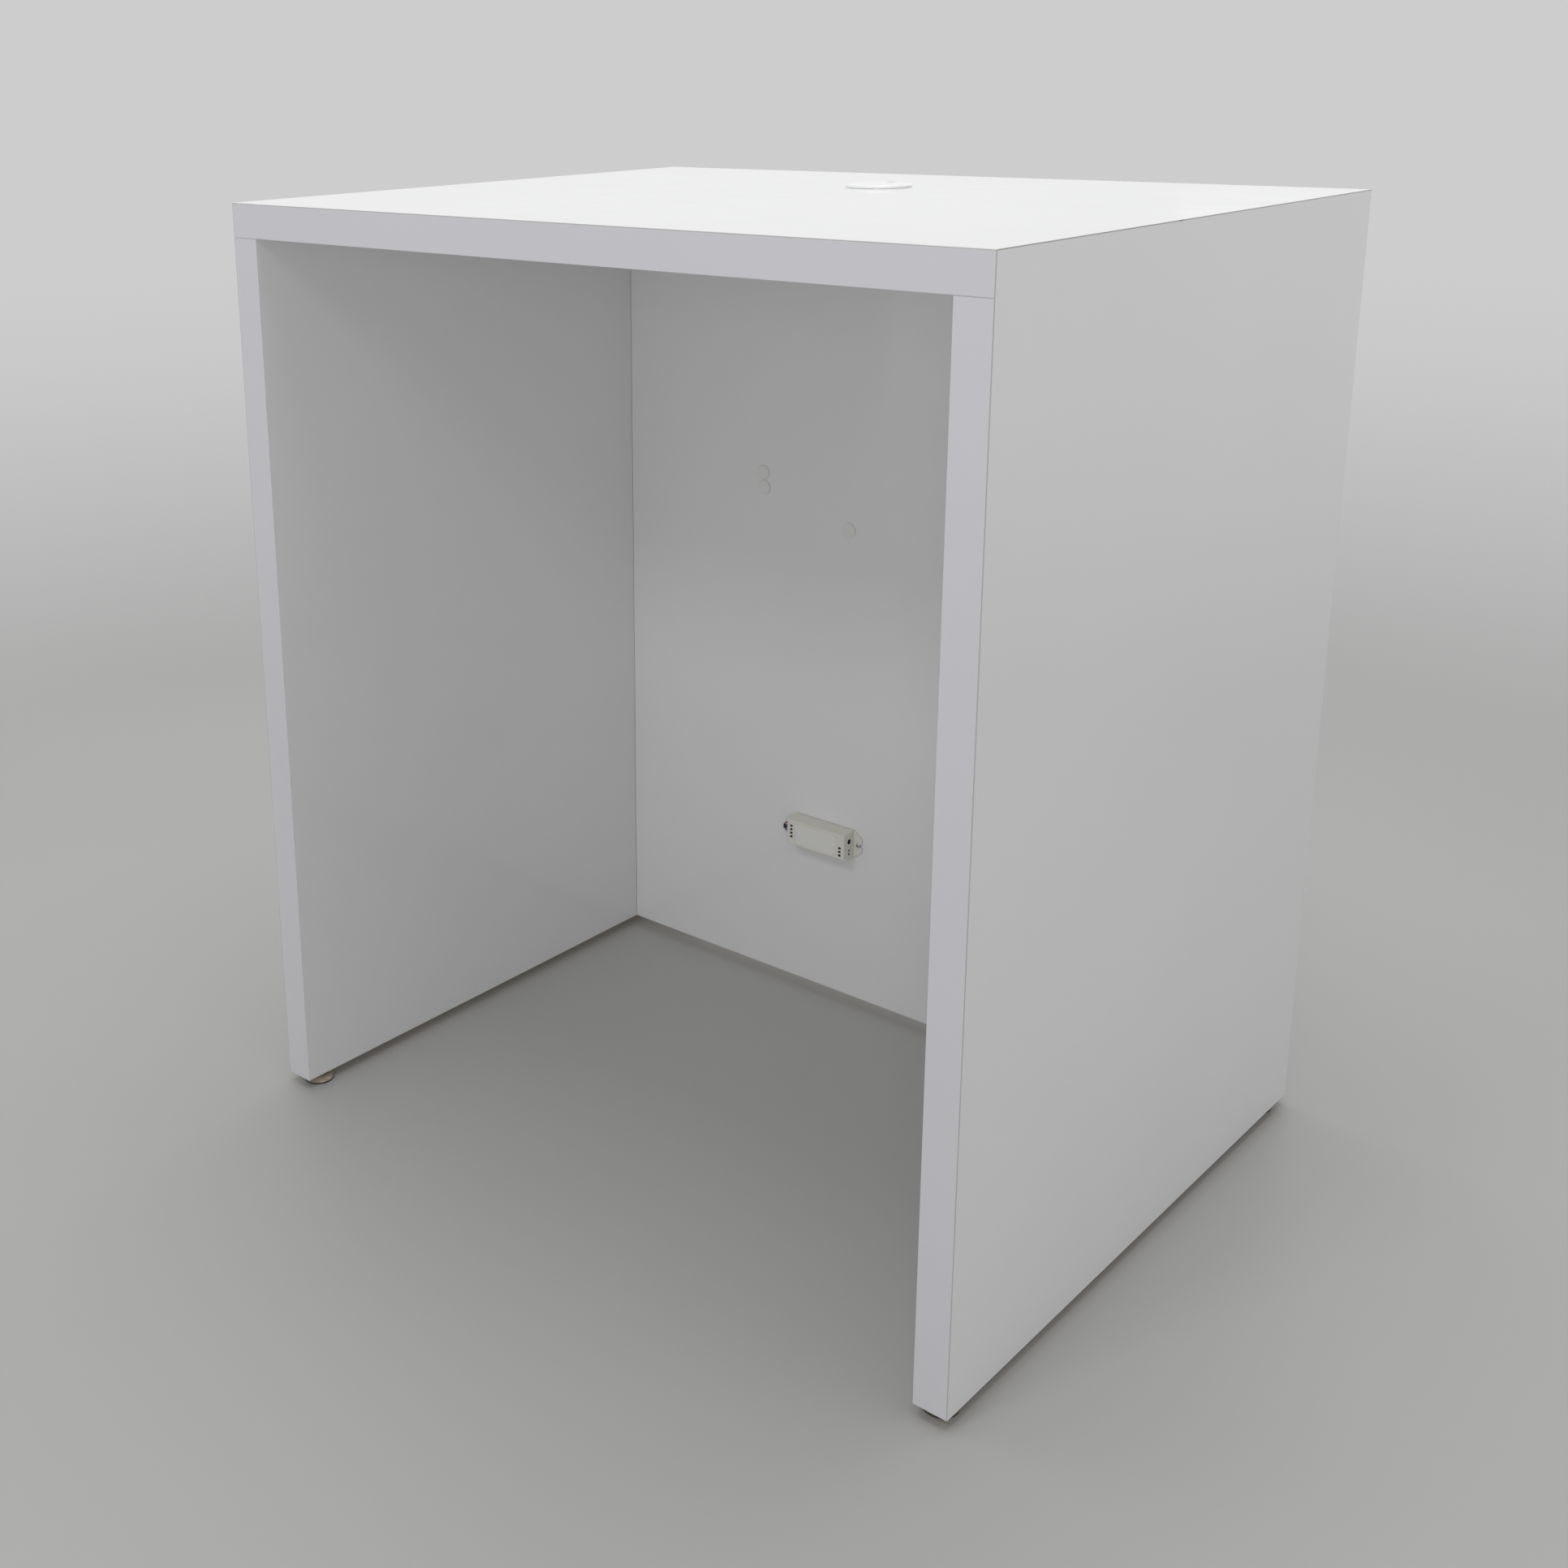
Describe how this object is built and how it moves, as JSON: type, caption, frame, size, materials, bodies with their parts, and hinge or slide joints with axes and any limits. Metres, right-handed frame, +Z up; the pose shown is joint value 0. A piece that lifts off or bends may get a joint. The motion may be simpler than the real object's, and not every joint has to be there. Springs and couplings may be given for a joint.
{
  "type": "reception desk",
  "caption": "White gloss laminate reception desk: thick worktop and sides, recessed front panel, cable grommet, light controller and levelling feet.",
  "frame": {"origin": "on the floor under the middle of the desk's box", "axes": "+Z up, +X to the right seen from the staff side, +Y towards the visitors"},
  "size_m": [0.965, 0.762, 1.096],
  "materials": {
    "white_laminate": "gloss high-pressure laminate",
    "core_board": "raw particle board",
    "tongue_plywood": "birch plywood",
    "zinc_steel": "bright zinc plating",
    "foot_plastic": "moulded nylon",
    "grommet_plastic": "moulded, polished",
    "disc_plastic": "stick-on cover",
    "case_plastic": "fine-grained moulding",
    "circuit_laminate": "solder mask",
    "terminal_plastic": "moulded",
    "socket_plastic": "moulded",
    "red_insulation": "extruded insulation",
    "blue_insulation": "extruded insulation",
    "green_insulation": "extruded insulation",
    "black_insulation": "extruded insulation",
    "channel_aluminium": "satin anodised",
    "strip_film": "flexible circuit with light chips",
    "opal_plastic": "opal diffuser",
    "end_cap_plastic": "moulded"
  },
  "bodies": {
    "desk": {"left_outer_board": "core_board", "left_inner_board": "core_board", "left_outer_sheet": "white_laminate", "left_inner_sheet": "white_laminate", "left_top_tongue": "tongue_plywood", "left_front_tongue": "tongue_plywood", "left_staff_band": "white_laminate", "left_visitor_band": "white_laminate", "right_outer_board": "core_board", "right_inner_board": "core_board", "right_outer_sheet": "white_laminate", "right_inner_sheet": "white_laminate", "right_top_tongue": "tongue_plywood", "right_front_tongue": "tongue_plywood", "right_staff_band": "white_laminate", "right_visitor_band": "white_laminate", "top_lower_board": "core_board", "top_upper_board": "core_board", "front_board": "core_board", "top_sheet": "white_laminate", "top_under_sheet": "white_laminate", "top_staff_band": "white_laminate", "top_visitor_band": "white_laminate", "front_inner_sheet": "white_laminate", "front_outer_sheet": "white_laminate", "top_front_tongue": "tongue_plywood", "insert_nuts": "zinc_steel", "cover_discs": "disc_plastic", "controller_base": "case_plastic", "controller_cover": "case_plastic", "circuit_board": "circuit_laminate", "output_terminals": "terminal_plastic", "input_terminals": "terminal_plastic", "controller_screws": "zinc_steel", "power_socket": "socket_plastic", "lead_red": "red_insulation", "lead_blue": "blue_insulation", "lead_green": "green_insulation", "lead_black": "black_insulation", "light_channel": "channel_aluminium", "light_strip": "strip_film", "light_diffuser": "opal_plastic", "light_end_caps": "end_cap_plastic"},
    "grommet": {"grommet_liner": "grommet_plastic"},
    "lid": {"grommet_lid": "grommet_plastic"},
    "left_staff_pad": {"left_staff_foot_pad": "foot_plastic"},
    "left_staff_stem": {"left_staff_foot_stem": "zinc_steel"},
    "left_visitor_pad": {"left_visitor_foot_pad": "foot_plastic"},
    "left_visitor_stem": {"left_visitor_foot_stem": "zinc_steel"},
    "right_staff_pad": {"right_staff_foot_pad": "foot_plastic"},
    "right_staff_stem": {"right_staff_foot_stem": "zinc_steel"},
    "right_visitor_pad": {"right_visitor_foot_pad": "foot_plastic"},
    "right_visitor_stem": {"right_visitor_foot_stem": "zinc_steel"}
  },
  "joints": [
    {"name": "grommet_turn", "type": "hinge", "parent": "desk", "child": "grommet", "pos_m": [0, 0.172, 1.092], "axis": [0, 0, 1], "continuous": true},
    {"name": "lid_lift", "type": "slide", "parent": "grommet", "child": "lid", "axis": [0, 0, 1], "range_m": [0, 0.04]},
    {"name": "left_staff_foot_extend", "type": "slide", "parent": "desk", "child": "left_staff_pad", "axis": [0, 0, -1], "range_m": [0, 0.012]},
    {"name": "left_staff_foot_screw", "type": "hinge", "parent": "left_staff_pad", "child": "left_staff_stem", "pos_m": [-0.459, -0.353, 0.012], "axis": [0, 0, -1], "range_deg": [0, 3456]},
    {"name": "left_visitor_foot_extend", "type": "slide", "parent": "desk", "child": "left_visitor_pad", "axis": [0, 0, -1], "range_m": [0, 0.012]},
    {"name": "left_visitor_foot_screw", "type": "hinge", "parent": "left_visitor_pad", "child": "left_visitor_stem", "pos_m": [-0.459, 0.353, 0.012], "axis": [0, 0, -1], "range_deg": [0, 3456]},
    {"name": "right_staff_foot_extend", "type": "slide", "parent": "desk", "child": "right_staff_pad", "axis": [0, 0, -1], "range_m": [0, 0.012]},
    {"name": "right_staff_foot_screw", "type": "hinge", "parent": "right_staff_pad", "child": "right_staff_stem", "pos_m": [0.459, -0.353, 0.012], "axis": [0, 0, -1], "range_deg": [0, 3456]},
    {"name": "right_visitor_foot_extend", "type": "slide", "parent": "desk", "child": "right_visitor_pad", "axis": [0, 0, -1], "range_m": [0, 0.012]},
    {"name": "right_visitor_foot_screw", "type": "hinge", "parent": "right_visitor_pad", "child": "right_visitor_stem", "pos_m": [0.459, 0.353, 0.012], "axis": [0, 0, -1], "range_deg": [0, 3456]}
  ],
  "couplings": [
    {"joint": "left_staff_foot_screw", "follows": "left_staff_foot_extend", "rad_per_m": 5026.5},
    {"joint": "left_visitor_foot_screw", "follows": "left_visitor_foot_extend", "rad_per_m": 5026.5},
    {"joint": "right_staff_foot_screw", "follows": "right_staff_foot_extend", "rad_per_m": 5026.5},
    {"joint": "right_visitor_foot_screw", "follows": "right_visitor_foot_extend", "rad_per_m": 5026.5}
  ]
}
